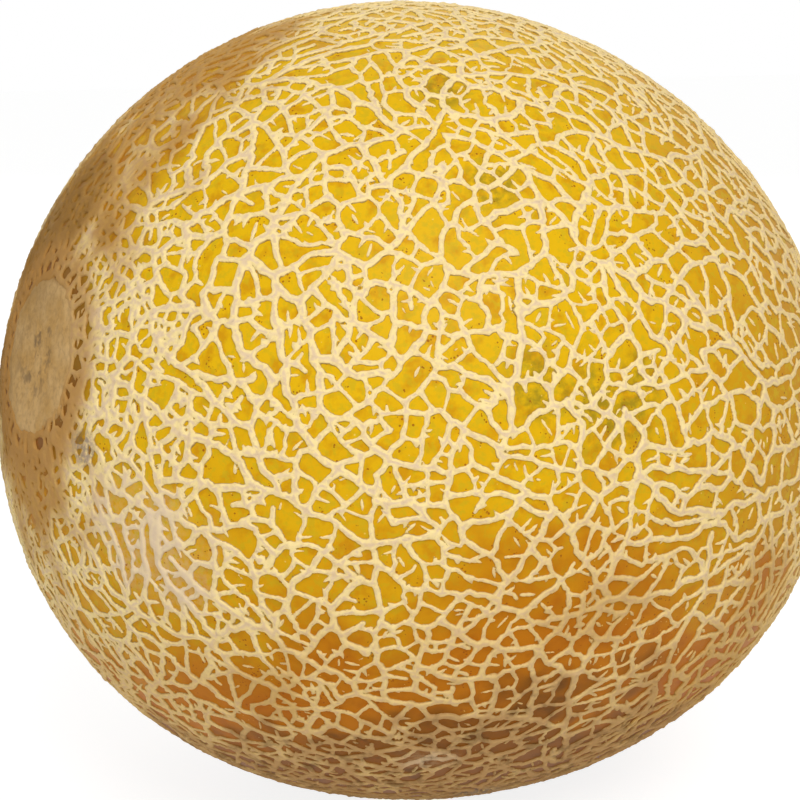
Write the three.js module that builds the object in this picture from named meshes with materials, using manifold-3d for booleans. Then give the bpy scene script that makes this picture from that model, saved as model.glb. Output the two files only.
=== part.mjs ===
// Galia melon: one closed solid, resting on a small flat spot. Millimetres, +Z up.
//
// The fruit is a slightly long spheroid. Its blossom end, a flat corky disc, points along -X and
// is tipped up a little. Its stem end, a shallow basin with the round scar that the stalk slipped
// from, faces the other way. The origin is on the ground, under the middle of the fruit's box.
import * as THREE from "three";
import { mergeVertices } from "three/addons/utils/BufferGeometryUtils.js";
import Module from "manifold-3d";

// Driving dimensions
const polarLength = 148.3; // stem end to blossom end, before the two ends are shaped
const equatorDiameter = 140;
const blossomEndUp = 13; // degrees that the blossom end is tipped up from level
const blossomFlatDepth = 1.2; // how far the corky disc lies below the spheroid's own end
const blossomFlatBlend = 0.5; // how softly the disc's edge turns into the side
const stemBasinDepth = 2.4;
const stemBasinRadius = 11;
const stemScarRadius = 5.6;
const stemScarRise = 0.9; // the slip scar's plug stands up in the basin
const stemScarBlend = 0.6; // how softly the plug's edge drops
const groundFlatDepth = 1.4; // the side that lay on the ground is flattened by this much

// How the fruit departs from a true spheroid: each is a share of the radius, and turns are in
// radians round the fruit. They all fade out at the two ends.
const shoulders = 0.019; // fuller between the equator and each end
const eggShape = 0.029; // fuller on the blossom half
const skew = -0.01; // the two ends lean to one side
const lobes = [
  { count: 2, height: 0.0071, turn: -0.81 },
  { count: 3, height: 0.0072, turn: 0.79 },
];

// Mesh density
const sidesRound = 72;
const bandsAlong = 60;
const bunching = 0.13; // how far the bands move towards the two shaped ends, in radians

const wasm = await Module();
wasm.setup();

const halfLength = polarLength / 2;
const halfWidth = equatorDiameter / 2;
const tilt = THREE.MathUtils.degToRad(blossomEndUp);
const endCap = Math.cos(Math.PI / 3); // the two ends are shaped within 60 degrees of the axis

// The smaller of two lengths, rounded where they cross.
function softMin(a, b, blend) {
  const share = THREE.MathUtils.clamp(0.5 + (b - a) / (2 * blend), 0, 1);
  return THREE.MathUtils.lerp(b, a, share) - blend * share * (1 - share);
}

// A step from 1 inside the edge to 0 outside it.
function inside(distance, edge, softness) {
  return 1 - THREE.MathUtils.smoothstep(distance, edge - softness, edge + softness);
}

// The sum of all the departures from a spheroid, as a share of the radius.
function swell(polar, around) {
  let sum = shoulders * Math.cos(2 * polar) + eggShape * Math.cos(polar);
  sum += skew * Math.cos(2 * polar + around);
  for (const lobe of lobes) {
    sum += lobe.height * Math.cos(lobe.count * around + lobe.turn);
  }
  return sum * Math.sin(polar) ** 2;
}

// Distance from the fruit's middle to its surface. polar is the angle from the blossom end.
function surfaceRadius(polar, around) {
  const along = Math.cos(polar);
  const across = Math.sin(polar);
  let radius = 1 / Math.hypot(along / halfLength, across / halfWidth);
  radius *= 1 + swell(polar, around);
  if (along > endCap) {
    const disc = (halfLength - blossomFlatDepth) / along;
    radius = softMin(radius, disc, blossomFlatBlend);
  }
  if (along < -endCap) {
    const offAxis = radius * across;
    radius -= stemBasinDepth * Math.exp(-((offAxis / stemBasinRadius) ** 2));
    radius += stemScarRise * inside(offAxis, stemScarRadius, stemScarBlend);
  }
  return radius;
}

// Polar angles of the bands, closer together at the two shaped ends.
function bandAngles() {
  const angles = [];
  for (let band = 0; band <= bandsAlong; band++) {
    const share = band / bandsAlong;
    const shift = Math.sin(4 * Math.PI * share) * Math.sqrt(Math.sin(Math.PI * share));
    angles.push(Math.PI * share - bunching * shift);
  }
  return angles;
}

// The whole fruit about its own axis, with the blossom end along +Y of the lathe.
function fruitOnItsAxis() {
  const profile = bandAngles()
    .reverse()
    .map((polar) => new THREE.Vector2(Math.sin(polar), Math.cos(polar)));
  profile[0].x = 0;
  profile[profile.length - 1].x = 0;
  const geometry = new THREE.LatheGeometry(profile, sidesRound);
  const position = geometry.getAttribute("position");
  const direction = new THREE.Vector3();
  for (let i = 0; i < position.count; i++) {
    direction.fromBufferAttribute(position, i).normalize();
    const polar = Math.acos(THREE.MathUtils.clamp(direction.y, -1, 1));
    const around = Math.atan2(direction.z, direction.x);
    direction.multiplyScalar(surfaceRadius(polar, around));
    position.setXYZ(i, direction.x, direction.y, direction.z);
  }
  return geometry;
}

// A geometry as a manifold solid.
function toSolid(geometry) {
  const bare = geometry.clone();
  bare.deleteAttribute("normal");
  bare.deleteAttribute("uv");
  const merged = mergeVertices(bare, 1e-3);
  return new wasm.Manifold(
    new wasm.Mesh({
      numProp: 3,
      vertProperties: merged.attributes.position.array,
      triVerts: new Uint32Array(merged.index.array),
    }),
  );
}

// A manifold solid as a geometry with normals.
function toGeometry(solid) {
  const mesh = solid.getMesh();
  const geometry = new THREE.BufferGeometry();
  geometry.setAttribute("position", new THREE.BufferAttribute(mesh.vertProperties, 3));
  geometry.setIndex(new THREE.BufferAttribute(mesh.triVerts, 1));
  geometry.computeVertexNormals();
  return geometry;
}

// The fruit laid on its side, cut flat where it meets the ground and centred over the origin.
function restingFruit() {
  const geometry = fruitOnItsAxis();
  geometry.rotateZ(Math.PI / 2 - tilt); // +Y goes to -X, tipped up towards +Z after the next turn
  geometry.rotateX(Math.PI / 2);
  geometry.computeBoundingBox();
  geometry.translate(0, 0, -geometry.boundingBox.min.z - groundFlatDepth);
  const ground = new THREE.BoxGeometry(2 * polarLength, 2 * polarLength, polarLength);
  ground.translate(0, 0, -polarLength / 2);
  const cut = toGeometry(toSolid(geometry).subtract(toSolid(ground)));
  cut.computeBoundingBox();
  const middle = cut.boundingBox.getCenter(new THREE.Vector3());
  return cut.translate(-middle.x, -middle.y, 0);
}

const melonSkin = new THREE.MeshStandardMaterial({
  color: 0xe3c06a,
  roughness: 0.6,
  metalness: 0,
});

const melon = new THREE.Mesh(restingFruit(), melonSkin);
melon.name = "melon";

const galiaMelon = new THREE.Group();
galiaMelon.add(melon);

export default galiaMelon;
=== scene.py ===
import math
import random

import bpy
import numpy as np
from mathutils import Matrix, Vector


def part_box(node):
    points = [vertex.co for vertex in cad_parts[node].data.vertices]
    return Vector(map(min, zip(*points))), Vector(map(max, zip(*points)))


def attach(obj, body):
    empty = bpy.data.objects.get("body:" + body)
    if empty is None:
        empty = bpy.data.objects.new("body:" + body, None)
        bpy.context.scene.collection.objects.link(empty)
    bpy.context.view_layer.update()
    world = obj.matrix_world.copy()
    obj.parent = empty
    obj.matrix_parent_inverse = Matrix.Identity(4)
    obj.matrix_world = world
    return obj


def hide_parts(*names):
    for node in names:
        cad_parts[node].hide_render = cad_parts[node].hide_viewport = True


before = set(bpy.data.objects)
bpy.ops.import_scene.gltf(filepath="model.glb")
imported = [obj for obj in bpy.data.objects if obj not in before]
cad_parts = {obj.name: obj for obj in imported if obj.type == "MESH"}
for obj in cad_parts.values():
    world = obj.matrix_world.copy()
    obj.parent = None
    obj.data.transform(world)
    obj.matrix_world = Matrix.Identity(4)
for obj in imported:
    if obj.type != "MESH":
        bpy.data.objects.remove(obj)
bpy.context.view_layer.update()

mm = 0.001
print("stage: frame loaded")


# The same form as the solid that the pieces stand for, in mm and degrees.
fruit = {
    "polarLength": 148.3,  # stem end to blossom end, before the ends are shaped
    "equatorDiameter": 140,
    "blossomEndUp": 13,  # how far the blossom end is tipped up
    "blossomFlatDepth": 1.2,
    "blossomFlatBlend": 0.5,
    "stemBasinDepth": 2.4,
    "stemBasinRadius": 11,
    "stemScarRadius": 5.6,
    "stemScarRise": 0.9,
    "stemScarBlend": 0.6,
    "endCosine": 0.5,  # each end has its own shape within this cosine of its pole
    "groundFlatDepth": 1.4,
    "shoulders": 0.019,
    "eggShape": 0.029,
    "skew": -0.01,
    "lobes": [(2, 0.0071, -0.81), (3, 0.0072, 0.79)],  # count, height, turn
    "skinInset": 0.3,  # the skin lies this far inside the solid, so the net straddles its surface
    "skinOffGround": 0.25,  # where the fruit lies, the net is between the skin and the ground
}

tilt = math.radians(fruit["blossomEndUp"])
blossomWay = np.array([-math.cos(tilt), 0, math.sin(tilt)])  # from the middle to the blossom end
topWay = np.array([math.sin(tilt), 0, math.cos(tilt)])
farWay = np.array([0, 1.0, 0])


def softMin(a, b, blend):
    # the smaller of two values, rounded where they cross
    share = np.clip(0.5 + (b - a) / (2 * blend), 0, 1)
    return b + (a - b) * share - blend * share * (1 - share)


def smoothStep(low, high, value):
    # runs smoothly from 0 at low to 1 at high
    share = np.clip((value - low) / (high - low), 0, 1)
    return share * share * (3 - 2 * share)


def degreesOff(ways, pole):
    # the angle between each unit vector and the pole
    return np.degrees(np.arccos(np.clip(ways @ pole, -1, 1)))


def formRadius(ways):
    # distance from the middle to the form's surface along each unit vector, in mm
    along = ways @ blossomWay
    around = np.arctan2(-(ways @ farWay), ways @ topWay)
    polar = np.arccos(np.clip(along, -1, 1))
    across = np.sin(polar)
    halfLength = fruit["polarLength"] / 2
    radius = 1 / np.hypot(along / halfLength, across / (fruit["equatorDiameter"] / 2))
    swell = sum(height * np.cos(count * around + turn) for count, height, turn in fruit["lobes"])
    swell = swell + fruit["shoulders"] * np.cos(2 * polar) + fruit["eggShape"] * np.cos(polar)
    swell = swell + fruit["skew"] * np.cos(2 * polar + around)
    radius = radius * (1 + across**2 * swell)
    near = fruit["endCosine"]
    disc = (halfLength - fruit["blossomFlatDepth"]) / np.maximum(along, near)
    radius = np.where(along > near, softMin(radius, disc, fruit["blossomFlatBlend"]), radius)
    offAxis = radius * across
    basin = fruit["stemBasinDepth"] * np.exp(-((offAxis / fruit["stemBasinRadius"]) ** 2))
    edge, blend = fruit["stemScarRadius"], fruit["stemScarBlend"]
    plug = fruit["stemScarRise"] * (1 - smoothStep(edge - blend, edge + blend, offAxis))
    return np.where(along < -near, radius - basin + plug, radius)


def sideWays(side):
    # three unit vectors of one side of a cube that is lined up with the fruit: outward and along it
    ways = [blossomWay, topWay, farWay]
    sign = 1 if side % 2 == 0 else -1
    return ways[side // 2] * sign, ways[(side // 2 + 1) % 3], ways[(side // 2 + 2) % 3] * sign


def cubeSide(side, cells):
    # unit vectors of a square grid bulged out from one side of the cube
    outward, acrossWay, alongWay = sideWays(side)
    slope = np.tan(np.linspace(-math.pi / 4, math.pi / 4, cells + 1))
    grid = outward + slope[:, None, None] * acrossWay + slope[None, :, None] * alongWay
    return grid / np.linalg.norm(grid, axis=-1, keepdims=True)


def allRound(cells):
    # the unit vectors of all six sides, in one list
    return np.concatenate([cubeSide(side, cells).reshape(-1, 3) for side in range(6)])


def circleRound(pole, count):
    # unit vectors square to the pole, evenly spaced all the way round it
    side = np.cross(pole, farWay)
    around = np.linspace(0, 2 * math.pi, count, endpoint=False)
    return np.cos(around)[:, None] * side + np.sin(around)[:, None] * np.cross(pole, side)


sideNames = ["BlossomEnd", "StemEnd", "Top", "Ground", "FarSide", "NearSide"]

# The fruit's middle is set so that the form's box has the solid's middle and height.
probeCells = 160
probe = allRound(probeCells)
probe = probe * formRadius(probe)[:, None] * mm
solidLow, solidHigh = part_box("melon")
middle = (np.array(solidLow) + np.array(solidHigh)) / 2 - (probe.min(0) + probe.max(0)) / 2
middle[2] = -probe[:, 2].min() - fruit["groundFlatDepth"] * mm


def onFruit(ways, rise):
    # points on the fruit, in metres, that stand rise mm out from the skin
    out = (formRadius(ways) - fruit["skinInset"] + rise) * mm
    points = ways * out[..., None] + middle
    floor = np.maximum(fruit["skinOffGround"] - rise, 0) * mm
    points[..., 2] = np.maximum(points[..., 2], floor)
    return points


def ripple(points, length, seed, waves=14, spread=(0.6, 1.4)):
    # a smooth random field of about -1.5 to 1.5, from waves that are about length long
    draw = np.random.default_rng(seed)
    headings = draw.normal(size=(waves, 3))
    headings /= np.linalg.norm(headings, axis=1, keepdims=True)
    pace = 2 * math.pi / length * draw.uniform(*spread, waves)
    shift = draw.uniform(0, 2 * math.pi, waves)
    return np.sin(points @ (headings * pace[:, None]).T + shift).sum(-1) / math.sqrt(waves / 2)


def ripples(points, layers):
    # ripples on one another, each given by its length in mm, its height and its seed
    return sum(height * ripple(points, length, seed) for length, height, seed in layers)


def weld(points, faces, *values, cell=2e-6, shift=0.137):
    # joins the points that two sides share: those in one small cell, on a grid that is shifted so
    # that no cell's edge runs through them
    keys = np.floor(points / cell + shift).astype(np.int64)
    keys = keys[:, 0] + (keys[:, 1] << 20) + (keys[:, 2] << 40)
    _, first, back = np.unique(keys, return_index=True, return_inverse=True)
    return (points[first], back[faces]) + tuple(value[first] for value in values)


def makeMesh(name, points, faces, values):
    # a smooth mesh object from arrays, with one named number per point for each entry of values
    mesh = bpy.data.meshes.new(name)
    sides = faces.shape[1]
    mesh.vertices.add(len(points))
    mesh.vertices.foreach_set("co", points.astype(np.float32).ravel())
    mesh.loops.add(faces.size)
    mesh.loops.foreach_set("vertex_index", faces.astype(np.int32).ravel())
    mesh.polygons.add(len(faces))
    mesh.polygons.foreach_set("loop_start", np.arange(0, faces.size, sides, dtype=np.int32))
    mesh.update(calc_edges=True)
    mesh.polygons.foreach_set("use_smooth", np.ones(len(faces), dtype=bool))
    for key, numbers in values.items():
        layer = mesh.attributes.new(key, "FLOAT", "POINT")
        layer.data.foreach_set("value", np.asarray(numbers, dtype=np.float32))
    piece = bpy.data.objects.new(name, mesh)
    bpy.context.scene.collection.objects.link(piece)
    return piece


def gridFaces(cellsWide, cellsHigh):
    # the quads of a grid whose points are numbered row by row
    i, j = np.meshgrid(np.arange(cellsWide), np.arange(cellsHigh), indexing="ij")
    start = (i * (cellsHigh + 1) + j).ravel()
    return np.stack([start, start + cellsHigh + 1, start + cellsHigh + 2, start + 1], -1)


def belongs(piece):
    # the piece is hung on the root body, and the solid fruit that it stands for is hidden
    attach(piece, "root")
    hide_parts("melon")


print("stage: form ready")


# Patches of another tint, each by its middle, in degrees off the blossom end and round the fruit
# from its top, and its reach in degrees.
tints = {
    "tanned": [(24, -6, 20), (43, -6, 19), (12, -60, 16), (13, 178, 16), (100, -140, 22)],  # weathered
    "browningAndPaintedShade": [(17, -32, 15), (14, -110, 11)],  # weathered more, with painted shade on the blossom end's far side
    "bronzed": [(113, 124, 17), (84, 106, 8), (116, 104, 9), (52, 136, 7)],  # sunned, orange brown
    "filmed": [(31, 126, 9), (76, 137, 3.5), (118, -40, 8)],  # a film of pale cork over the skin
    "mossy": [(63, 36, 4), (65, 52, 4), (69, 79, 5), (79, 80, 7), (84, 10, 6), (70, -70, 7),
              (110, -20, 8), (95, -120, 7), (125, 60, 6), (130, -90, 8)],  # dark olive skin
    "stained": [(17, 120, 2.5), (93, 150, 4), (60, -160, 4)],  # grey
    "ripe": (0.3, -0.2),  # heights between which the skin turns golden, as shares of the radius
    "ground": (0.14, -0.31),  # and then orange
    "scuffsAndUndersideShade": (-0.32, -0.5),  # and then darker brown towards the ground: scuffs, with painted shade of the underside
    "belly": 80,  # degrees off the blossom end, where orange and brown climb highest
    "lean": 0.0065,  # how much higher a place counts for each degree that it is away from there
    "stemHalf": (74, 108),  # degrees off the blossom end between which the skin is golden all round
    "stemward": (86, 122),  # and between which it turns browner
    "scarRing": (17, 11.5),  # and the brown skin beside the blossom scar
    "patchEdge": [(10, 0.13, 71), (3.5, 0.04, 72)],  # ripples in a patch's edge, as shares of its reach
    "heightEdge": [(16, 0.04, 73), (5, 0.03, 74)],  # and in where a height begins
    "stemwardEdge": 40,  # degrees that those ripples' height of 1 is worth along the fruit
    "patchFade": (0.35, 1.15),  # where a patch fades out, as shares of its reach
}


def fruitWay(polar, around):
    # a unit vector from the angle off the blossom end and the angle round the fruit from its top
    polar, around = math.radians(polar), math.radians(around)
    side = topWay * math.cos(around) - farWay * math.sin(around)
    return Vector(blossomWay * math.cos(polar) + side * math.sin(polar))


def tintAt(ways, name):
    # how strong a tint is along each unit vector, from 0 to 1, with ragged edges
    waver = ripples(ways * fruit["equatorDiameter"] / 2, tints["patchEdge"])
    total = np.zeros(len(ways))
    for polar, around, reach in tints[name]:
        off = degreesOff(ways, np.array(fruitWay(polar, around)))
        total = np.maximum(total, 1 - smoothStep(*tints["patchFade"], off / reach + waver))
    return total


def allTints(ways):
    # every tint's strength along each unit vector
    polar = degreesOff(ways, blossomWay)
    waver = ripples(ways * fruit["equatorDiameter"] / 2, tints["heightEdge"])
    low = waver - ways[:, 2]
    ragged = polar + tints["stemwardEdge"] * waver
    leaning = low - tints["lean"] * np.abs(polar - tints["belly"])
    patchy = ("tanned", "browningAndPaintedShade", "bronzed", "filmed", "mossy", "stained")
    values = {name: tintAt(ways, name) for name in patchy}
    for name, height in (("ripe", low), ("ground", leaning), ("scuffsAndUndersideShade", leaning)):
        values[name] = smoothStep(-tints[name][0], -tints[name][1], height)
    values["ripe"] = np.maximum(values["ripe"], smoothStep(*tints["stemHalf"], ragged))
    values["stemward"] = smoothStep(*tints["stemward"], ragged)
    values["scarRing"] = smoothStep(*tints["scarRing"], polar)
    return values


# The net's ribs are laid as a fruit's skin cracks: long ribs first, then ever shorter ones.
net = {
    "seed": 5,
    "layRadius": 72,  # mm, ribs are laid on a ball of this radius and then moved onto the fruit
    "step": 0.35,  # mm between the points of a rib
}

draw = random.Random(net["seed"])
layRadius = net["layRadius"]
rindCells = 118
rindWays = allRound(rindCells)
rindFaces = gridFaces(rindCells, rindCells)
rindFaces = np.concatenate([rindFaces + side * (rindCells + 1) ** 2 for side in range(6)])
rindWays, rindFaces = weld(rindWays, rindFaces)

# Each point of the rind knows how far it is from the net, and where the nearest rib is.
spots = rindWays * layRadius
farOff = 12.0  # mm, as far as that is measured
nearlyFar = 0.99  # share of that beyond which no rib is near
gapTo = np.full(len(spots), farOff)
nearestTo = np.zeros_like(spots)
polarOf = degreesOff(rindWays, blossomWay)

# They are sorted into blocks too, so that those near a rib are found fast.
blockSize = 4.0
blockKeys = np.floor(spots / blockSize).astype(int)
order = np.lexsort(blockKeys.T)
cuts = np.flatnonzero(np.any(np.diff(blockKeys[order], axis=0) != 0, axis=1)) + 1
blocks = {tuple(blockKeys[part[0]]): part for part in np.split(order, cuts)}

ribPoints = []  # every point of every rib, in mm on the lay ball
ribs = []  # each rib's points by number, the gap it was laid in, its girth and which ends meet a rib
laid = {}  # a rough 3-D grid: the numbers of the rib points in each of its cells
laidCell = 1.5  # mm, which is also the farthest that nearestRib can look
nextTo = [(i, j, k) for i in (-1, 0, 1) for j in (-1, 0, 1) for k in (-1, 0, 1)]


def zoned(zones, polar):
    # a share that goes from 1 to each zone's own share
    total = np.ones_like(polar)
    for share, (start, end) in zones:
        total *= 1 + (share - 1) * smoothStep(start, end, polar)
    return total


def cellOf(point):
    # the rough grid's cell that holds the point
    return tuple(math.floor(c / laidCell) for c in point)


def noteDown(number):
    laid.setdefault(cellOf(ribPoints[number]), []).append(number)


def stepOn(point, heading):
    # one step along the heading, back on the ball
    return (point + heading * net["step"]).normalized() * layRadius


def nearestRib(point, reach):
    # the nearest laid point within reach, as its number and distance
    i, j, k = cellOf(point)
    best, bestGap = None, reach
    for x, y, z in nextTo:
        for number in laid.get((i + x, j + y, k + z), ()):
            gap = (ribPoints[number] - point).length
            if gap < bestGap:
                best, bestGap = number, gap
    return best, bestGap


def measureFrom(points, reach):
    # the rind's points near a new rib are told how far it is
    line = np.array(points)
    if reach > blockSize:
        centre = line.mean(0)
        centre /= np.linalg.norm(centre)
        spread = math.sqrt(((line - centre * layRadius) ** 2).sum(1).max()) + reach
        near = np.flatnonzero(spots @ centre > layRadius * math.cos(min(spread / layRadius, math.pi)))
        line = line[::3]  # near enough over such a reach
    else:
        keys = {tuple(key) for key in np.floor(line / blockSize).astype(int)}
        keys = {(i + x, j + y, k + z) for i, j, k in keys for x, y, z in nextTo}
        near = np.concatenate([blocks[key] for key in keys if key in blocks])
    here = spots[near]
    square = (here**2).sum(1)[:, None] + (line**2).sum(1)[None, :] - 2 * here @ line.T
    closest = square.argmin(1)
    gap = np.sqrt(np.maximum(square[np.arange(len(near)), closest], 0))
    better = gap < gapTo[near]
    gapTo[near[better]] = gap[better]
    nearestTo[near[better]] = line[closest[better]]
    return near


def layRib(startNumber, points, endNumber, gap, girth=None):
    # adds a rib through points; a start or end number is a laid point that it grows from or meets
    numbers = list(range(len(ribPoints), len(ribPoints) + len(points)))
    ribPoints.extend(points)
    for number in numbers:
        noteDown(number)
    joined = (startNumber is not None, endNumber is not None)
    numbers = [startNumber] * joined[0] + numbers + [endNumber] * joined[1]
    ribs.append({"numbers": numbers, "gap": gap, "girth": girth, "joined": joined})


def headingAt(point, angle):
    # a unit vector along the fruit's surface, turned by angle from the way to the blossom end
    out = point.normalized()
    side = Vector(blossomWay).cross(out).normalized()
    return out.cross(side) * math.cos(angle) + side * math.sin(angle)


def turned(heading, point, angle):
    # heading laid flat on the surface at point, then turned by angle
    out = point.normalized()
    heading = (heading - out * heading.dot(out)).normalized()
    return heading * math.cos(angle) + out.cross(heading) * math.sin(angle)


growing = {
    "sway": 0.03,  # radians that a rib wavers with each step
    "straighten": 0.05,  # share of its turning that it takes back with each step
    "kink": 0.45,  # radians
    "kinkEvery": 2.4,  # mm
    "kinkSpread": (0.5, 1.5),
    "steerReach": 1.1,  # mm from another rib at which it turns towards that one
    "steer": 0.3,
    "steerFrom": 1.25,
    "meets": 1.3,  # steps from another rib at which it stops there
}


def growTip(start, heading, longest, wander):
    # one half of a rib: its points after start, and the number of the laid point that it meets
    points, point = [], start
    length, turnedBy = 0.0, 0.0
    nextKink = draw.uniform(*growing["kinkSpread"]) * growing["kinkEvery"]
    while length < longest:
        other, gap = nearestRib(point, growing["steerReach"])
        if other is not None and length > 0:
            if gap < net["step"] * growing["meets"]:
                return points[:-1], other
            toward = (ribPoints[other] - point) / gap
            if heading.dot(toward) > 0:
                strength = growing["steerFrom"] - gap / growing["steerReach"]
                heading = heading + toward * growing["steer"] * strength
        turn = draw.gauss(0, wander) - growing["straighten"] * turnedBy
        if length > nextKink:
            turn += draw.gauss(0, growing["kink"])
            nextKink = length + draw.uniform(*growing["kinkSpread"]) * growing["kinkEvery"]
        turnedBy += turn
        heading = turned(heading, point, turn)
        point = stepOn(point, heading)
        points.append(point)
        length += net["step"]
    return points, None


def layBothWays(start, heading, longest, otherLongest, gap, reach, wander=growing["sway"]):
    # a rib that grows both ways from its middle
    onward, onwardEnd = growTip(start, heading, longest, wander)
    back, backEnd = growTip(start, -heading, otherLongest, wander)
    points = back[::-1] + [start] + onward
    layRib(backEnd, points, onwardEnd, gap)
    return measureFrom(points, reach)


def ringPoints(pole, radius, wobble, seed):
    # a wavy closed ring round one of the fruit's two ends, radius in mm from the axis
    circle = circleRound(pole, int(2 * math.pi * radius / net["step"]))
    size = radius + wobble * ripple(circle * radius, collarShape["wobbleLength"], seed)
    lean = np.arcsin(size / layRadius)
    ways = np.cos(lean)[:, None] * pole + np.sin(lean)[:, None] * circle
    return [Vector(way * layRadius) for way in ways]


# The collar of short ribs round each scar, in mm: the scar's edge, the ring, and the spokes between.
collars = [
    {"pole": blossomWay, "scar": 12.4, "ring": 15.2, "wobble": 0.35, "spokes": 36, "girth": 0.75},
    {"pole": -blossomWay, "scar": 6.4, "ring": 8.6, "wobble": 0.3, "spokes": 19, "girth": 0.9},
]
collarShape = {
    "scarWobble": 0.1,
    "wobbleLength": 4.0,
    "seeds": (1, 2),  # of the two rings
    "gap": 3,  # mm, which says how hard its ribs pull
    "spokeStray": 0.22,  # share of the way to the next spoke
    "spokeSlant": 0.004,  # share of the whole ring
    "spokeGirth": (0.7, 1.3),
}


def layCollar(collar):
    # two rings round a scar and the spokes between them; no other rib starts within
    pole, gap = collar["pole"], collarShape["gap"]
    innerSeed, outerSeed = collarShape["seeds"]
    inner = ringPoints(pole, collar["scar"], collarShape["scarWobble"], innerSeed)
    outer = ringPoints(pole, collar["ring"], collar["wobble"], outerSeed)
    for ring in (inner, outer):
        first = len(ribPoints)
        layRib(None, ring, first, gap, collar["girth"])
        measureFrom(ring, blockSize)
    innerFirst = len(ribPoints) - len(inner) - len(outer)
    outerFirst = len(ribPoints) - len(outer)
    stray, slant = collarShape["spokeStray"], collarShape["spokeSlant"]
    for spoke in range(collar["spokes"]):
        share = (spoke + draw.uniform(-stray, stray)) / collar["spokes"] % 1
        start = innerFirst + int(share * len(inner))
        share = (share + draw.uniform(-slant, slant)) % 1
        end = outerFirst + int(share * len(outer))
        count = max(3, int((ribPoints[end] - ribPoints[start]).length / net["step"]))
        points = [ribPoints[start].lerp(ribPoints[end], i / count) for i in range(1, count)]
        layRib(start, points, end, gap, collar["girth"] * draw.uniform(*collarShape["spokeGirth"]))
        measureFrom(points, blockSize)
    inside = spots @ pole > math.sqrt(layRadius**2 - collar["ring"] ** 2)
    gapTo[inside] = 0


for collar in collars:
    layCollar(collar)

firstRibs = {
    "count": 90,
    "reach": (8, 30),  # mm that each end may run
    "gap": 9,  # mm of gap, which its girth goes by
    "turn": 0.35,  # radians that it strays from the line between the fruit's ends
    "round": 0.3,  # share of them that run round the fruit instead
    "sway": 0.02,
    "within": 0.93,  # none starts past this cosine of an end
}
for _ in range(firstRibs["count"]):
    start = Vector([draw.gauss(0, 1) for _ in range(3)]).normalized() * layRadius
    if abs(start.dot(Vector(blossomWay))) > firstRibs["within"] * layRadius:
        continue
    angle = draw.gauss(0, firstRibs["turn"])
    if draw.random() < firstRibs["round"]:
        angle += math.pi / 2
    ends = [draw.uniform(*firstRibs["reach"]) for _ in range(2)]
    layBothWays(start, headingAt(start, angle), *ends, firstRibs["gap"], farOff, firstRibs["sway"])

# A cell is split through its middle for as long as it is larger than its patch of skin allows.
splitting = {
    "cellHalf": 1.9,  # mm from rib to rib, halved, at which a cell is left whole
    "cellSpread": (0.9, 1.1),
    "zones": [  # the cells' size as a share, and where it goes to that: degrees off the blossom end
        (0.42, (36, 12)),
        (1.2, (72, 100)),
        (0.5, (150, 170)),
    ],
    "tanned": 0.8,  # the same on tanned skin
    "patches": [(9, 0.18, 31), (4.5, 0.126, 32)],  # ripples in the cells' size
    "patchesEvened": 0.02,  # takes off what the ripples add on the whole
    "ladder": (78, 105),  # degrees: towards the stem end, ribs run along the fruit or round it
    "ringed": (24, 15),  # and beside the blossom scar, round it
    "turn": 0.3,  # radians that the new rib strays from the way to the nearest one
    "ladderPull": 0.7,  # how strongly it is drawn along the fruit or round it
    "ringPull": 0.6,
    "onlyRound": (0.3, 1.5),  # when ringed more than this, in a gap of fewer mm, it runs round
    "onlyAlong": (0.5, 0.6),  # when in the ladder more than this, such a share of them run along
    "longest": 60,  # mm that each end may run
    "shortGap": 2.5,  # mm of gap below which an end may stop before it meets a rib
    "unfinished": 0.28,  # share of those that do
    "stopsAfter": (0.3, 0.8),  # shares of the gap
    "touches": 1.3,  # times the gap, as far as the new rib matters to the rind's points
}
evened = ripples(spots, splitting["patches"]) - splitting["patchesEvened"]
wanted = splitting["cellHalf"] * zoned(splitting["zones"], polarOf) * np.exp(evened)
wanted *= 1 + (splitting["tanned"] - 1) * tintAt(rindWays, "tanned")
wanted *= np.random.default_rng(net["seed"]).uniform(*splitting["cellSpread"], len(spots))
score = gapTo / wanted
ladder = smoothStep(*splitting["ladder"], polarOf)
ringed = smoothStep(*splitting["ringed"], polarOf)
while True:
    spot = int(np.argmax(score))
    if score[spot] < 1:
        break
    gap = float(gapTo[spot])
    start = Vector(spots[spot])
    if gap > nearlyFar * farOff:
        heading = headingAt(start, draw.uniform(0, math.pi))
    else:
        heading = turned(Vector(nearestTo[spot]) - start, start, draw.gauss(0, splitting["turn"]))
    pull = float(splitting["ladderPull"] * ladder[spot] + splitting["ringPull"] * ringed[spot])
    if pull > 0:
        ways = [headingAt(start, quarter * math.pi / 2) for quarter in range(4)]
        ringedPast, narrower = splitting["onlyRound"]
        ladderPast, share = splitting["onlyAlong"]
        if ringed[spot] > ringedPast and gap < narrower:
            ways = ways[1::2]
        elif ladder[spot] > ladderPast and draw.random() < share:
            ways = ways[::2]
        heading = (heading + pull * max(ways, key=heading.dot)).normalized()
    longest = otherLongest = splitting["longest"]
    if gap < splitting["shortGap"] and draw.random() < splitting["unfinished"]:
        otherLongest = gap * draw.uniform(*splitting["stopsAfter"])
    near = layBothWays(start, heading, longest, otherLongest, gap, min(gap * splitting["touches"], farOff))
    score[near] = gapTo[near] / wanted[near]


longCells = {
    "longest": 2.0,  # a cell this many times as long as it is wide is split across
    "ladderLonger": 0.7,  # and how many times more it may be in the ladder
    "spread": (0.8, 1.25),
    "narrow": 0.66,  # share of its patch's cell size below which it is left
    "clear": 0.4,  # mm from a rib at which a cell ends
    "turn": 0.25,  # radians that the new rib strays from straight across
    "reach": 4,  # times the gap that each of its ends may run
    "gap": 0.9,  # share of the gap, which its girth goes by
    "touches": 1.5,  # mm at least
}


def clearRun(point, heading, longest):
    # how far a straight line runs from point before it meets a rib
    length = 0.0
    while length < longest and nearestRib(point, longCells["clear"])[0] is None:
        heading = turned(heading, point, 0)
        point = stepOn(point, heading)
        length += net["step"]
    return length


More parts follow.
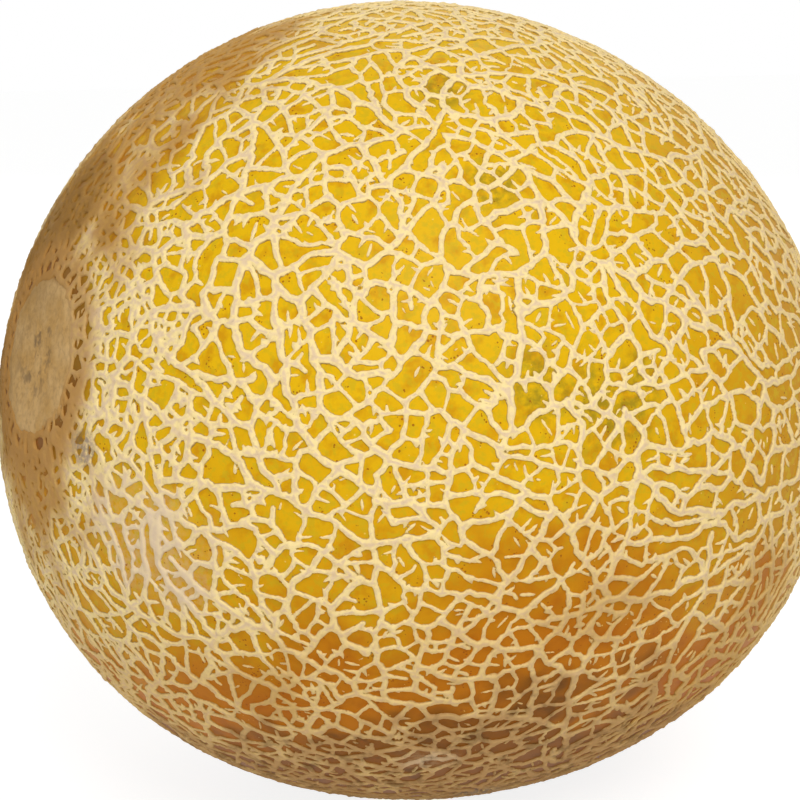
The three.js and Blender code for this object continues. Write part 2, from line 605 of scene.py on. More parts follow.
def splitLongCells():
    # cells that are still much longer than wide get a rib across, unless they are narrow
    narrow = longCells["narrow"] * wanted
    for spot in np.random.default_rng(net["seed"]).permutation(np.flatnonzero(gapTo > narrow)):
        gap = float(gapTo[spot])
        if gap < narrow[spot]:
            continue
        point = Vector(spots[spot])
        across = turned(Vector(nearestTo[spot]) - point, point, 0)
        along = turned(across, point, math.pi / 2)
        allowed = (longCells["longest"] + longCells["ladderLonger"] * ladder[spot]) * 2 * gap
        ahead, behind = clearRun(point, along, farOff), clearRun(point, -along, farOff)
        if ahead + behind > allowed * draw.uniform(*longCells["spread"]):
            centre = (point + along * (ahead - behind) / 2).normalized() * layRadius
            heading = turned(across, centre, draw.gauss(0, longCells["turn"]))
            longest = longCells["reach"] * gap
            touched = max(gap * splitting["touches"], longCells["touches"])
            layBothWays(centre, heading, longest, longest, gap * longCells["gap"], touched)


splitLongCells()
print("stage:", len(ribs), "ribs laid")


relaxing = {
    "rounds": 45,
    "pull": 0.6,
    "power": 1.1,  # more than 1, so that ribs laid in a wide gap pull the hardest
    "widestGap": 4.5,  # mm past which they pull no harder
    "past": 12.2,  # degrees off either end, so that the collars stay as laid
    "wander": [(5.0, 0.24, 10), (2.0, 0.12, 20)],  # ripples in the ribs' run
    "bendEvery": (2, 4),  # points of a rib from one sharp bend to the next
    "bend": 0.1,  # mm that a sharp bend is thrown to one side
}


def relaxNet():
    # ribs pull at each other where they meet, the thick ones hardest, and then wander a little
    links = [pair for rib in ribs for pair in zip(rib["numbers"][:-1], rib["numbers"][1:])]
    power, widest = relaxing["power"], relaxing["widestGap"]
    stiff = [min(rib["gap"], widest) ** power for rib in ribs for _ in rib["numbers"][1:]]
    one, two = np.array(links).T
    stiff = np.array(stiff)[:, None]
    points = np.array(ribPoints)
    ends = np.bincount(np.concatenate([one, two]), minlength=len(points)) < 2
    total = np.zeros((len(points), 1))
    np.add.at(total, one, stiff)
    np.add.at(total, two, stiff)
    still = np.abs(points @ blossomWay) > layRadius * math.cos(math.radians(relaxing["past"]))
    pull = np.where(ends | still, 0, relaxing["pull"])[:, None]
    for _ in range(relaxing["rounds"]):
        mean = np.zeros_like(points)
        np.add.at(mean, one, points[two] * stiff)
        np.add.at(mean, two, points[one] * stiff)
        points += (mean / total - points) * pull
        points *= layRadius / np.linalg.norm(points, axis=1, keepdims=True)
    for length, height, seed in relaxing["wander"]:
        points += height * np.stack([ripple(points, length, seed + axis) for axis in range(3)], -1)
    for rib in ribs:
        bendRib(points, rib["numbers"], bool(still[rib["numbers"]].any()))
    points *= layRadius / np.linalg.norm(points, axis=1, keepdims=True)
    ribPoints[:] = [Vector(point) for point in points]
    laid.clear()
    for number in range(len(ribPoints)):
        noteDown(number)


def bendRib(points, numbers, still):
    # the rib becomes straight stretches between sharp bends; its two ends stay where they are
    if still:
        return
    last = len(numbers) - 1
    bends = [0]
    while bends[-1] < last - 2:
        bends.append(min(bends[-1] + draw.randint(*relaxing["bendEvery"]), last))
    bends[-1] = last
    for bend in bends[1:-1]:
        number = numbers[bend]
        run = points[numbers[bend + 1]] - points[numbers[bend - 1]]
        aside = np.cross(points[number], run)
        points[number] += aside / (np.linalg.norm(aside) + 1e-9) * draw.gauss(0, relaxing["bend"])
    for low, high in zip(bends[:-1], bends[1:]):
        start, end = points[numbers[low]], points[numbers[high]]
        for place in range(low + 1, high):
            share = (place - low) / (high - low)
            points[numbers[place]] = start + (end - start) * share


relaxNet()


spurs = {
    "count": 6200,
    "length": (1.1, 2.8),  # mm
    "girth": (0.4, 0.6),
    "room": 0.7,  # mm that a spur keeps from the next rib
    "least": 3,  # points that it has, and that it keeps from its own rib's ends
    "turn": 0.5,  # radians that it strays from a right angle
    "sway": 0.1,
}


def addSpur():
    # a short rib that leaves another sideways and thins out before it meets anything
    rib = ribs[draw.randrange(mainRibs)]
    least = spurs["least"]
    if len(rib["numbers"]) <= 2 * least:
        return
    place = draw.randrange(least, len(rib["numbers"]) - least)
    number = rib["numbers"][place]
    point = ribPoints[number]
    along = ribPoints[rib["numbers"][place + 1]] - ribPoints[rib["numbers"][place - 1]]
    heading = turned(along, point, draw.choice((-1, 1)) * math.pi / 2 + draw.gauss(0, spurs["turn"]))
    points = []
    for step in range(int(draw.uniform(*spurs["length"]) / net["step"])):
        heading = turned(heading, point, draw.gauss(0, spurs["sway"]))
        point = stepOn(point, heading)
        if step >= least and nearestRib(point, spurs["room"])[0] is not None:
            break
        points.append(point)
    if len(points) >= least:
        layRib(number, points, None, None, draw.uniform(*spurs["girth"]))


dashes = {
    "count": 1000,
    "steps": (2, 5),  # each way from its middle
    "least": 4,  # points
    "girth": (0.42, 0.62),
    "gap": 0.85,  # mm that its middle keeps from the ribs, before it strays
    "stray": 0.25,
    "room": 0.55,
}


def addDash():
    # a short stroke of cork by itself in the middle of a cell
    point = Vector(spots[openSpots[draw.randrange(len(openSpots))]])
    stray = Vector([draw.gauss(0, dashes["stray"]) for _ in range(3)])
    point = (point + stray).normalized() * layRadius
    heading = headingAt(point, draw.uniform(0, math.pi))
    halves = []
    for sign in (-1, 1):
        half, tip = [], point
        for _ in range(draw.randint(*dashes["steps"])):
            tip = stepOn(tip, heading * sign)
            if nearestRib(tip, dashes["room"])[0] is not None:
                break
            half.append(tip)
        halves.append(half)
    points = halves[0][::-1] + [point] + halves[1]
    if len(points) >= dashes["least"]:
        layRib(None, points, None, None, draw.uniform(*dashes["girth"]))


blotches = [  # wide patches of cork: degrees off the blossom end and round the fruit, then mm
    {"polar": 31, "around": 122, "turn": 70, "length": 4.2, "girth": 2.3},
    {"polar": 14, "around": 60, "turn": 95, "length": 3.6, "girth": 1.7},
    {"polar": 27, "around": 118, "turn": 60, "length": 2.4, "girth": 1.3},
    {"polar": 76, "around": 131, "turn": 10, "length": 3.0, "girth": 1.8},
    {"polar": 118, "around": -40, "turn": 30, "length": 4.0, "girth": 1.9},
    {"polar": 60, "around": -95, "turn": 80, "length": 3.2, "girth": 2.0},
]


def addBlotch(blotch):
    # a wide patch of cork, as a short and very thick rib
    point = fruitWay(blotch["polar"], blotch["around"]) * layRadius
    heading = headingAt(point, math.radians(blotch["turn"]))
    count = int(blotch["length"] / net["step"])
    line = [point + heading * net["step"] * (i - count / 2) for i in range(count)]
    layRib(None, [spot.normalized() * layRadius for spot in line], None, None, blotch["girth"])


mainRibs = len(ribs)
gapTo = np.array([nearestRib(Vector(spot), laidCell)[1] for spot in spots])
openSpots = np.flatnonzero(gapTo > dashes["gap"])
for _ in range(spurs["count"]):
    addSpur()
for _ in range(dashes["count"]):
    addDash()
for blotch in blotches:
    addBlotch(blotch)
print("stage:", len(ribs), "ribs with spurs,", len(ribPoints), "points")


# The ribs' thickness: how the cork stands up from the skin, on a fine grid over each side.
cork = {
    "cells": 520,  # across one of the six sides
    "heightLow": 0.14,  # mm that the thinnest rib stands up
    "heightPerGirth": 0.16,
    "girthLimits": (0.3, 1.6),  # mm of girth beyond which the height stays as it is
    "shoulder": 0.55,  # share of a rib's half girth over which it rounds down to the skin
    "foot": 0.05,  # mm that the outline lies under the skin
    "ragged": [(0.65, 0.022, 51)],  # ripples in the outline
    "lumpy": [(1.1, 0.12, 52)],  # and in the height, as a share of it
    "corner": 0.055,  # mm, how roundly two ribs run together
    "cornerZones": [(1.45, (60, 18))],  # rounder near the blossom scar, where cork nearly closes the cells
    "overlap": 0.65,  # takes off what the stretches of one rib add to each other
    "fade": 0.6,  # mm outside the outline that is still worked out
    "pastSide": 0.45,  # a side takes ribs out to this cosine of its middle; its corners are at 0.58
    "closest": 0.75,  # share of the grid's usual spacing that its closest points have
    "thinHalf": 0.4,  # mm, thinner stretches than this reach fewer grid points
    "stampPast": 0.45,  # mm past its girth that a stretch still counts
    "underScar": 0.9,  # mm that the net runs in under a scar's edge
    "leastGirth": 0.2,
    "triangles": 790_000,
}
noCork = -9  # mm, far outside every outline


girths = {
    "slim": 0.42,  # mm, the girth of a rib that closes the smallest cells
    "perGap": 0.13,  # mm of girth for each mm of the gap that the rib was laid in
    "widestGap": 4.5,
    "spread": (0.84, 1.16),
    "flare": 0.8,  # how much a rib widens where it meets another
    "flareLength": 0.38,
    "taper": 0.75,  # mm over which a free end thins out
    "tip": 0.12,  # share of the girth that it ends with
    "zones": [(1.14, (60, 30)), (1.14, (75, 100))],  # as the cells' zones
    "tanned": 1.12,
    "ripples": [(1.6, 0.1, 41), (12, 0.08, 42)],
}


def ribSegments():
    # every short stretch of every rib: its two ends in mm and its half girth
    starts, ends, halves = [], [], []
    points = np.array(ribPoints)
    for rib in ribs:
        line = points[rib["numbers"]]
        girth = rib["girth"] or girths["slim"] + girths["perGap"] * min(rib["gap"], girths["widestGap"])
        girth *= rib["spread"]
        run = (np.arange(len(line) - 1) + 0.5) * net["step"]
        size = np.full(len(run), girth)
        for distance, joined in ((run, rib["joined"][0]), (run[::-1], rib["joined"][1])):
            if joined:
                flare = girths["flare"] * np.exp(-distance / girths["flareLength"])
                size = np.maximum(size, girth * (1 + flare))
            else:
                size = size * np.clip(distance / girths["taper"] + girths["tip"], 0, 1)
        starts.append(line[:-1])
        ends.append(line[1:])
        halves.append(size / 2)
    starts, ends, halves = np.concatenate(starts), np.concatenate(ends), np.concatenate(halves)
    ways = starts / layRadius
    zones = zoned(girths["zones"], degreesOff(ways, blossomWay))
    halves *= zones * (1 + ripples(starts, girths["ripples"]))
    halves *= 1 + (girths["tanned"] - 1) * tintAt(ways, "tanned")
    return starts, ends, halves


for rib in ribs:
    rib["spread"] = draw.uniform(*girths["spread"])
segStart, segEnd, segHalf = ribSegments()


def stampSide(side):
    # how far each grid point lies inside the ribs' outline, and the half girth there, in mm; ribs that
    # meet run together in a round corner
    cells = cork["cells"]
    ways = cubeSide(side, cells)
    place = (ways * layRadius).astype(np.float32)
    corner = cork["corner"] * zoned(cork["cornerZones"], degreesOff(ways, blossomWay))
    corner = corner.astype(np.float32)
    weight = np.zeros(place.shape[:2], np.float32)
    girth = np.zeros(place.shape[:2], np.float32)
    outward, acrossWay, alongWay = sideWays(side)
    mid = (segStart + segEnd) / 2
    out = mid @ outward
    near = np.flatnonzero(out > cork["pastSide"] * layRadius)
    angles = [np.arctan2(mid[near] @ way, out[near]) for way in (acrossWay, alongWay)]
    i, j = [np.round((angle * 2 / math.pi + 0.5) * cells).astype(int) for angle in angles]
    spacing = layRadius * math.pi / 2 / cells * cork["closest"]
    thin = segHalf[near] < cork["thinHalf"]
    for some in (thin, ~thin):
        if not some.any():
            continue
        reach = int((segHalf[near][some].max() + cork["stampPast"]) / spacing) + 1
        pick, pi, pj = near[some], i[some], j[some]
        start = segStart[pick].astype(np.float32)
        run = (segEnd[pick] - segStart[pick]).astype(np.float32)
        square = np.maximum((run**2).sum(1), 1e-9)
        half = segHalf[pick].astype(np.float32)
        for di in range(-reach, reach + 1):
            for dj in range(-reach, reach + 1):
                gi, gj = pi + di, pj + dj
                ok = (gi >= 0) & (gi <= cells) & (gj >= 0) & (gj <= cells)
                gi, gj = gi[ok], gj[ok]
                off = place[gi, gj] - start[ok]
                along = np.clip((off * run[ok]).sum(1) / square[ok], 0, 1)
                off -= run[ok] * along[:, None]
                pull = np.exp((half[ok] - np.sqrt((off**2).sum(1))) / corner[gi, gj])
                np.add.at(weight, (gi, gj), pull)
                np.add.at(girth, (gi, gj), pull * half[ok])
    depth = corner * (np.log(np.maximum(weight, 1e-9)) - cork["overlap"])
    return ways, depth, girth / np.maximum(weight, 1e-9)


def netSide(side):
    # the part of the net on one side: points, quads, and where each point lies across its rib
    cells = cork["cells"]
    ways, depth, halfGirth = stampSide(side)
    live = depth > -cork["fade"]
    depth[live] += ripples(ways[live] * layRadius, cork["ragged"])
    for collar in collars:
        lean = math.asin((collar["scar"] - cork["underScar"]) / layRadius)
        depth[(ways @ collar["pole"]) > math.cos(lean)] = noCork
    inside = depth > 0
    kept = inside[:-1, :-1] | inside[1:, :-1] | inside[1:, 1:] | inside[:-1, 1:]
    slopeI, slopeJ = np.gradient(np.maximum(depth, -cork["fade"]))
    steep = np.maximum(slopeI**2 + slopeJ**2, 1e-6)
    stepI = np.where(inside, 0, -depth * slopeI / steep)
    stepJ = np.where(inside, 0, -depth * slopeJ / steep)
    tooFar = np.maximum(np.hypot(stepI, stepJ), 1)
    stepI, stepJ = stepI / tooFar, stepJ / tooFar
    stepI[[0, -1], :] = 0
    stepJ[:, [0, -1]] = 0
    faces = gridFaces(cells, cells)[kept.ravel()]
    used, faces = np.unique(faces, return_inverse=True)
    faces = faces.reshape(-1, 4)
    row, column = used // (cells + 1), used % (cells + 1)
    angleI = ((row + stepI[row, column]) / cells - 0.5) * math.pi / 2
    angleJ = ((column + stepJ[row, column]) / cells - 0.5) * math.pi / 2
    outward, acrossWay, alongWay = sideWays(side)
    way = outward + np.tan(angleI)[:, None] * acrossWay + np.tan(angleJ)[:, None] * alongWay
    way /= np.linalg.norm(way, axis=1, keepdims=True)
    deep = np.maximum(depth[row, column], 0)
    girth = 2 * halfGirth[row, column]
    core = np.clip(2 * deep / np.maximum(girth, cork["leastGirth"]), 0, 1)
    height = cork["heightLow"] + cork["heightPerGirth"] * np.clip(girth, *cork["girthLimits"])
    height *= 1 + ripples(way * layRadius, cork["lumpy"])
    slope = np.clip(core / cork["shoulder"], 0, 1)
    rise = np.where(deep > 0, height * np.sqrt(1 - (1 - slope) ** 2), -cork["foot"])
    return way, faces, rise, core


def readOut(items, key, width, kind=float):
    # one array of a mesh's own values, such as its points' places
    values = np.empty(len(items) * width, kind)
    items.foreach_get(key, values)
    return values.reshape(-1, width)


def buildNet():
    # the six sides' nets are joined, thinned to the triangle limit and parted into a piece for each side
    allPoints, allFaces, allCore, count = [], [], [], 0
    for side in range(6):
        way, faces, rise, core = netSide(side)
        allPoints.append(onFruit(way, rise))
        allFaces.append(faces + count)
        allCore.append(core)
        count += len(way)
    points, faces, core = weld(np.concatenate(allPoints), np.concatenate(allFaces), np.concatenate(allCore))
    print("stage: net has", len(faces), "quads before it is thinned")
    whole = makeMesh("wholeNet", points, faces, {"core": core})
    whole.data.validate()  # drops quads that lost a corner where points were welded
    if len(faces) * 2 > cork["triangles"]:
        thin = whole.modifiers.new("thin", "DECIMATE")
        thin.ratio = cork["triangles"] / (len(faces) * 2)
    depsgraph = bpy.context.evaluated_depsgraph_get()
    thinned = bpy.data.meshes.new_from_object(whole.evaluated_get(depsgraph))
    bpy.data.objects.remove(whole)
    thinned.calc_loop_triangles()
    points = readOut(thinned.vertices, "co", 3)
    triangles = readOut(thinned.loop_triangles, "vertices", 3, np.int32)
    core = readOut(thinned.attributes["core"].data, "value", 1)[:, 0]
    bpy.data.meshes.remove(thinned)
    centres = points[triangles].mean(1) - middle
    sideOf = np.stack([centres @ sideWays(side)[0] for side in range(6)]).argmax(0)
    pieces = []
    for side, name in enumerate(sideNames):
        used, faces = np.unique(triangles[sideOf == side], return_inverse=True)
        ways = points[used] - middle
        ways /= np.linalg.norm(ways, axis=1, keepdims=True)
        values = {"core": core[used], **allTints(ways)}
        piece = makeMesh("corkNet" + name, points[used], faces.reshape(-1, 3), values)
        pieces.append(piece)
        print("  ", piece.name, len(piece.data.polygons), "triangles")
    return pieces


netPieces = buildNet()
print("stage: net built")


# A point's cell is as large as the widest place beside it.
cellSize = gapTo.copy()
np.maximum.at(cellSize, rindFaces, gapTo[rindFaces].max(1)[:, None])
values = {"cellSize": cellSize, **allTints(rindWays)}
rind = makeMesh("rind", onFruit(rindWays, np.zeros(len(rindWays))), rindFaces, values)
print("stage: rind built")


# The corky scars where the blossom and the stem were, in mm.
scars = {
    "blossomScar": {
        "pole": blossomWay,
        "radius": 12.7,
        "edge": [(7, 0.3, 61)],  # ripples in its outline
        "height": 0.5,
        "rings": 0,  # the height of its growth rings
    },
    "stemScar": {
        "pole": -blossomWay,
        "radius": 6.7,
        "edge": [(7, 0.2, 62)],
        "height": 0.7,
        "rings": 0.07,
    },
}
scarShape = {
    "relief": [(2.6, 0.05, 63), (0.9, 0.03, 64)],  # ripples in its face
    "ringCount": 4.5,
    "edgeSharpness": 10,
    "firstRing": 0.004,  # the smallest of its rings of points, so that no point is doubled
    "sunk": 0.08,  # mm that its rim lies under the skin
}


def buildScar(name, scar, rings=56, spokes=180):
    # a low corky disc with a rounded edge that dips under the skin
    pole = scar["pole"]
    circle = circleRound(pole, spokes)
    edge = scar["radius"] + ripples(circle * scar["radius"], scar["edge"])
    share = np.sin(np.linspace(scarShape["firstRing"], 1, rings + 1) * math.pi / 2)
    radius = share[:, None] * edge[None, :]
    lean = np.arcsin(radius / layRadius)[..., None]
    ways = (np.cos(lean) * pole + np.sin(lean) * circle[None]).reshape(-1, 3)
    out = np.repeat(share, spokes)
    flat = np.sqrt(np.clip(1 - out ** scarShape["edgeSharpness"], 0, 1))
    relief = ripples(ways * layRadius, scarShape["relief"])
    relief += scar["rings"] * np.sin(out * scarShape["ringCount"] * 2 * math.pi)
    rise = (scar["height"] + relief) * flat - scarShape["sunk"]
    rows = np.arange(rings + 1)[:, None] * spokes
    columns = np.arange(spokes)[None, :]
    nextColumns = (columns + 1) % spokes
    one, two = rows[:-1] + columns, rows[1:] + columns
    three, four = rows[1:] + nextColumns, rows[:-1] + nextColumns
    faces = np.stack([one, two, three, four], -1).reshape(-1, 4)
    values = {"edge": out, **allTints(ways)}
    return makeMesh(name, onFruit(ways, rise), faces, values)


scarPieces = [buildScar(name, scar) for name, scar in scars.items()]
print("stage: scars built")


def toLinear(hexColour):
    # an sRGB hex colour as linear red, green, blue and alpha
    channels = [int(hexColour[i:i + 2], 16) / 255 for i in (1, 3, 5)]
    return [c / 12.92 if c <= 0.04045 else ((c + 0.055) / 1.055) ** 2.4 for c in channels] + [1]


def addNode(material, kind, links, **settings):
    # a node with its settings; links gives each socket a plain value or another node's output
    node = material.node_tree.nodes.new(kind)
    for key, value in settings.items():
        setattr(node, key, value)
    for socket, value in links.items():
        if isinstance(value, bpy.types.NodeSocket):
            material.node_tree.links.new(value, node.inputs[socket])
        else:
            node.inputs[socket].default_value = value
    return node


speckShape = {
    "spread": (0.6, 1.4),  # the smallest and the largest, as shares of the given size
    "softness": 0.05,
    "groups": (0.58, 0.66),  # the noise between which a group of specks begins
}


def speckAmount(material, place, specks, most):
    # small round spots, gathered in loose groups
    settings = {"Vector": place, "Scale": 1 / (specks["every"] * mm)}
    dots = addNode(material, "ShaderNodeTexVoronoi", settings)
    chance = addNode(material, "ShaderNodeSeparateColor", {0: dots.outputs["Color"]}).outputs
    least, largest = [share * specks["size"] / 2 / specks["every"] for share in speckShape["spread"]]
    limits = {"Value": chance[1], "To Min": least, "To Max": largest}
    size = addNode(material, "ShaderNodeMapRange", limits).outputs[0]
    inside = addNode(material, "ShaderNodeMath", {0: size, 1: dots.outputs["Distance"]}, operation="SUBTRACT")
    soft = speckShape["softness"]
    limits = {"Value": inside.outputs[0], "From Min": -soft, "From Max": soft, "To Max": most}
    spot = addNode(material, "ShaderNodeMapRange", limits).outputs[0]
    settings = {"Vector": place, "Scale": 1 / (specks["groupsEvery"] * mm)}
    groups = addNode(material, "ShaderNodeTexNoise", settings).outputs["Fac"]
    few, many = speckShape["groups"]
    limits = {"Value": groups, "From Min": few, "From Max": many, "To Max": specks["share"]}
    share = addNode(material, "ShaderNodeMapRange", limits).outputs[0]
    some = addNode(material, "ShaderNodeMath", {0: chance[0], 1: share}, operation="LESS_THAN").outputs[0]
    return addNode(material, "ShaderNodeMath", {0: spot, 1: some}, operation="MULTIPLY").outputs[0]


def coatOver(material, place, colour, coat):
    # lays one coat over colour: where an attribute runs from low to high, broken up by patches
    # of noise that come in from low to high, and at most so strong
    amount = coat["most"]
    if "where" in coat:
        name, low, high = coat["where"]
        reading = addNode(material, "ShaderNodeAttribute", {}, attribute_name=name).outputs["Fac"]
        limits = {"Value": reading, "From Min": low, "From Max": high, "To Max": amount}
        amount = addNode(material, "ShaderNodeMapRange", limits).outputs[0]
    if "patches" in coat:
        size, low, high = coat["patches"]
        settings = {"Vector": place, "Scale": 1 / (size * mm), "Detail": 3, "Roughness": 0.6}
        lumps = addNode(material, "ShaderNodeTexNoise", settings).outputs["Fac"]
        limits = {"Value": lumps, "From Min": low, "From Max": high, "To Max": amount}
        amount = addNode(material, "ShaderNodeMapRange", limits).outputs[0]
    if "specks" in coat:
        amount = speckAmount(material, place, coat["specks"], amount)
    layers = {0: amount, 6: colour, 7: toLinear(coat["colour"])}
    return addNode(material, "ShaderNodeMix", layers, data_type="RGBA").outputs[2]


def makeFinish(name, finish):
    # a material from its dictionary: a base colour, coats over it, then gloss and a fine relief
    material = bpy.data.materials.new(name)
    material.use_nodes = True
    shader = material.node_tree.nodes["Principled BSDF"]
    place = addNode(material, "ShaderNodeTexCoord", {}).outputs["Object"]
    colour = toLinear(finish["base"])
    for coat in finish["coats"]:
        colour = coatOver(material, place, colour, coat)
    material.node_tree.links.new(colour, shader.inputs["Base Color"])
    shader.inputs["Roughness"].default_value = finish["roughness"]
    shader.inputs["IOR"].default_value = finish["IOR"]
    shader.inputs["Specular IOR Level"].default_value = finish["gloss"]
    size, strength, depth = finish["relief"]
    lumps = addNode(material, "ShaderNodeTexNoise", {"Vector": place, "Scale": 1 / (size * mm), "Detail": 3})
    settings = {"Height": lumps.outputs["Fac"], "Strength": strength, "Distance": depth * mm}
    bump = addNode(material, "ShaderNodeBump", settings)
    material.node_tree.links.new(bump.outputs[0], shader.inputs["Normal"])
    return material


# Each coat has a colour, its strength at most, and where it lies: a tint with its values from none
# to full, patches by their size in mm and the noise from none to full, or specks, in mm too.

# The skin between the cork is a ripe rind under its own thin wax, so its yellow is deep and only
# faintly glossy.
waxySkin = {
    "base": "#E6B60A",
    "coats": [
        {"colour": "#D4920A", "most": 0.58, "where": ("ripe", 0, 1)},
        {"colour": "#B47A0C", "most": 0.5, "where": ("stemward", 0, 1)},
        {"colour": "#CC8A08", "most": 0.7, "patches": (3.0, 0.5, 0.66)},  # one cell riper than the next
        {"colour": "#CDAE1C", "most": 0.6, "patches": (1.3, 0.5, 0.62)},
        {"colour": "#C2730A", "most": 0.95, "where": ("ground", 0, 1)},
        {"colour": "#A85A06", "most": 0.5, "where": ("ground", 0.3, 1), "patches": (4.0, 0.45, 0.65)},
        {"colour": "#A8620E", "most": 0.8, "where": ("tanned", 0, 1), "patches": (2.5, 0.2, 0.55)},
        # browner by the blossom end: weathering, with painted shade on its far side
        {"colour": "#8C5E1A", "most": 0.8, "where": ("browningAndPaintedShade", 0, 1)},
        {"colour": "#B26208", "most": 0.52, "where": ("bronzed", 0, 1)},
        {"colour": "#AA8A1C", "most": 0.6, "where": ("cellSize", 0.75, 0.4)},  # nearly closed by cork
        {"colour": "#8F7A1A", "most": 0.75, "where": ("mossy", 0, 1), "patches": (1.6, 0.36, 0.62)},
        # darker brown towards the ground: scuffs, with painted shade of the underside
        {"colour": "#86500A", "most": 0.9, "where": ("scuffsAndUndersideShade", 0, 1)},
        {"colour": "#5C3A12", "most": 0.55, "where": ("scuffsAndUndersideShade", 0.75, 1), "patches": (3.5, 0.5, 0.66)},
        {"colour": "#7A4A12", "most": 0.85, "where": ("scarRing", 0, 1)},
        {"colour": "#D8B888", "most": 0.5, "where": ("filmed", 0, 1), "patches": (0.9, 0.35, 0.6)},
        {"colour": "#6A5440", "most": 0.75, "where": ("stained", 0, 1), "patches": (1.6, 0.35, 0.6)},
        {"colour": "#9A4E0E", "most": 0.85,
         "specks": {"size": 0.28, "every": 0.52, "groupsEvery": 2.4, "share": 0.8}},
        # pale specks: painted glints standing for tiny highlights on the wax
        {"colour": "#F0D87C", "most": 0.6,
         "specks": {"size": 0.2, "every": 0.7, "groupsEvery": 4.5, "share": 0.5}},
    ],
    "roughness": 0.45,
    "IOR": 1.44,
    "gloss": 0.1,
    "relief": (0.7, 0.25, 0.05),  # pores: size in mm, strength and depth in mm
}

# The net is dry cork that healed over the skin's cracks. It is matt and cream, with a greyer,
# fissured middle whose darkest stripe is partly painted shade of the fissure, and a dark line where
# it meets the skin, which is painted contact shade beside the skin's own darker rim.
corkBark = {
    "base": "#FDE4A2",
    "coats": [
        {"colour": "#E9CDA8", "most": 0.95, "where": ("core", 0.52, 0.74)},
        {"colour": "#DDBE8C", "most": 0.35, "patches": (0.8, 0.5, 0.62)},
        # darker stripe down the middle: the fissure's colour, with painted shade in a groove the mesh does
        # not have
        {"colour": "#AD907A", "most": 0.7, "where": ("core", 0.78, 0.98), "patches": (0.5, 0.48, 0.56)},
        # dark line at the foot: painted contact shade where the rib meets the skin
        {"colour": "#8F6A1C", "most": 0.9, "where": ("core", 0.2, 0.02)},
        {"colour": "#D4A85C", "most": 0.25, "where": ("stemward", 0, 1)},
        # browner cork towards the ground: partly painted shade of the underside
        {"colour": "#D2A256", "most": 0.42, "where": ("ground", 0, 1)},
        {"colour": "#B88438", "most": 0.85, "where": ("tanned", 0, 1)},
        # browner by the blossom end: weathering, with painted shade on its far side
        {"colour": "#936A30", "most": 0.85, "where": ("browningAndPaintedShade", 0, 1)},
        {"colour": "#C4964E", "most": 0.55, "where": ("bronzed", 0, 1)},
        {"colour": "#B8884A", "most": 0.75, "where": ("scarRing", 0, 0.8)},
        # darker cork towards the ground: scuffs, with painted shade of the underside
        {"colour": "#BE9460", "most": 0.85, "where": ("scuffsAndUndersideShade", 0, 1), "patches": (6.0, 0.25, 0.5)},
        {"colour": "#E6CEB0", "most": 0.7, "where": ("filmed", 0, 1)},
        {"colour": "#7C5C36", "most": 0.6, "where": ("scuffsAndUndersideShade", 0.6, 1), "patches": (3.5, 0.52, 0.66)},
        {"colour": "#9C8A7A", "most": 0.85, "where": ("stained", 0, 1), "patches": (0.7, 0.35, 0.6)},
    ],
    "roughness": 0.85,
    "IOR": 1.5,
    "gloss": 0.1,
    "relief": (0.45, 0.35, 0.08),  # bark grain
}

# The scars are old dry cork that has been handled: tan and matt, with grey-brown smudges.
driedScar = {
    "base": "#C49A5C",
    "coats": [
        {"colour": "#D6B078", "most": 1.0, "patches": (7.0, 0.38, 0.66)},
        {"colour": "#8C6E46", "most": 0.35, "patches": (0.9, 0.45, 0.7)},
        {"colour": "#7E6648", "most": 0.75, "where": ("edge", 0.75, 0.3), "patches": (3.2, 0.54, 0.64)},
        # browner by the blossom end: weathering, with painted shade on its far side
        {"colour": "#8C6A38", "most": 0.45, "where": ("browningAndPaintedShade", 0, 1)},
        {"colour": "#9A6E35", "most": 0.6, "where": ("edge", 0.93, 1)},
    ],
    "roughness": 0.8,
    "IOR": 1.5,
    "gloss": 0.1,
    "relief": (0.9, 0.4, 0.1),  # dry crumbs of cork
}


skinFinish = makeFinish("waxyRindSkin", waxySkin)
corkFinish = makeFinish("corkNetBark", corkBark)
scarFinish = makeFinish("driedScarCork", driedScar)
rind.data.materials.append(skinFinish)
belongs(rind)
for piece in netPieces:
    piece.data.materials.append(corkFinish)
    belongs(piece)
for piece in scarPieces:
    piece.data.materials.append(scarFinish)
    belongs(piece)


studio = {
    "cameraAzimuth": -31.8,
    "cameraElevation": 12,
    "cameraDistance": 330,  # mm from the fruit's middle
    "lens": 83.7,
    "aimLeft": 4.4,  # mm from the fruit's middle to where the camera points
    "aimUp": 1.7,
    "lamps": [  # name, turn from the camera and elevation in degrees, distance and size in m, watts
        ("keyLamp", 14, 44, 0.9, 0.5, 4.15),
        ("fillLamp", -40, 20, 1.1, 0.8, 0.8),
        ("backLamp", 180, 30, 1.1, 0.9, 2.0),
    ],
    "worldLight": 0.4,
    "floorReach": 3,  # m
    "paper": "#F4F4F2",
    "paperRoughness": 0.9,
    "paperGlow": 0.65,  # share of the paper's look that is plain white
    "paperStrength": 1.3,  # so that the paper is still white where less light reaches it
}


def wayFrom(azimuth, elevation):
    # a unit vector towards a place by its turn round the fruit and its height, in degrees
    a, e = math.radians(azimuth), math.radians(elevation)
    return Vector((math.sin(a) * math.cos(e), -math.cos(a) * math.cos(e), math.sin(e)))


def addLamp(name, azimuth, elevation, distance, size, power):
    lamp = bpy.data.lights.new(name, "AREA")
    lamp.shape = "DISK"
    lamp.size = size
    lamp.energy = power
    piece = bpy.data.objects.new(name, lamp)
    bpy.context.scene.collection.objects.link(piece)
    way = wayFrom(azimuth, elevation)
    piece.location = Vector(middle) + way * distance
    piece.rotation_euler = way.to_track_quat("Z", "Y").to_euler()


def seenDirectly(material):
    # 1 for rays from the camera, a mirror or glass, and 0 for light that falls on things
    ray = addNode(material, "ShaderNodeLightPath", {}).outputs
    seen = ray["Is Camera Ray"]
    for kind in ("Is Glossy Ray", "Is Transmission Ray"):
        seen = addNode(material, "ShaderNodeMath", {0: seen, 1: ray[kind]}, operation="MAXIMUM").outputs[0]
    return seen


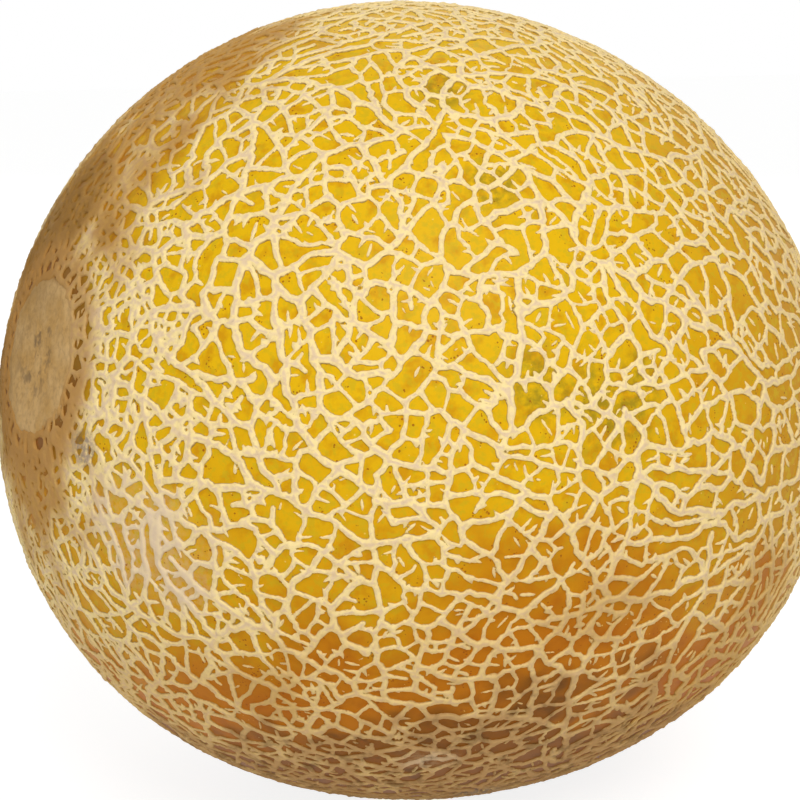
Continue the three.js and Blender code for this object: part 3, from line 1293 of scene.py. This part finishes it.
def makePaper():
    # matt white paper that looks white to the camera, with the fruit's shadow on it
    material = bpy.data.materials.new("whitePaper")
    material.use_nodes = True
    shader = material.node_tree.nodes["Principled BSDF"]
    shader.inputs["Base Color"].default_value = toLinear(studio["paper"])
    shader.inputs["Roughness"].default_value = studio["paperRoughness"]
    glow = addNode(material, "ShaderNodeEmission", {"Strength": studio["paperStrength"]})
    factors = {0: seenDirectly(material), 1: studio["paperGlow"]}
    share = addNode(material, "ShaderNodeMath", factors, operation="MULTIPLY").outputs[0]
    both = addNode(material, "ShaderNodeMixShader", {0: share, 1: shader.outputs[0], 2: glow.outputs[0]})
    material.node_tree.links.new(both.outputs[0], material.node_tree.nodes["Material Output"].inputs[0])
    return material


def buildStudio():
    scene = bpy.context.scene
    back = wayFrom(studio["cameraAzimuth"], studio["cameraElevation"])
    rightWay = Vector((0, 0, 1)).cross(back).normalized()
    upWay = back.cross(rightWay)
    camera = bpy.data.cameras.new("camera")
    camera.lens = studio["lens"]
    camera.clip_start = 10 * mm
    cameraObject = bpy.data.objects.new("camera", camera)
    scene.collection.objects.link(cameraObject)
    place = Vector(middle) + back * studio["cameraDistance"] * mm
    target = Vector(middle) - rightWay * studio["aimLeft"] * mm + upWay * studio["aimUp"] * mm
    cameraObject.location = place
    cameraObject.rotation_euler = (place - target).to_track_quat("Z", "Y").to_euler()
    scene.camera = cameraObject

    for name, turn, elevation, distance, size, power in studio["lamps"]:
        addLamp(name, studio["cameraAzimuth"] + turn, elevation, distance, size, power)

    world = bpy.data.worlds.new("world")
    scene.world = world
    world.use_nodes = True
    backdrop = world.node_tree.nodes["Background"]
    backdrop.inputs["Color"].default_value = (1, 1, 1, 1)
    limits = {"Value": seenDirectly(world), "To Min": studio["worldLight"], "To Max": 1}
    strength = addNode(world, "ShaderNodeMapRange", limits)
    world.node_tree.links.new(strength.outputs[0], backdrop.inputs["Strength"])

    floorMesh = bpy.data.meshes.new("floor")
    reach = studio["floorReach"]
    corners = [(-reach, -reach, 0), (reach, -reach, 0), (reach, reach, 0), (-reach, reach, 0)]
    floorMesh.from_pydata(corners, [], [(0, 1, 2, 3)])
    floor = bpy.data.objects.new("floor", floorMesh)
    scene.collection.objects.link(floor)
    floorMesh.materials.append(makePaper())


buildStudio()
bpy.context.scene.view_settings.view_transform = "Standard"
print("stage: studio ready")
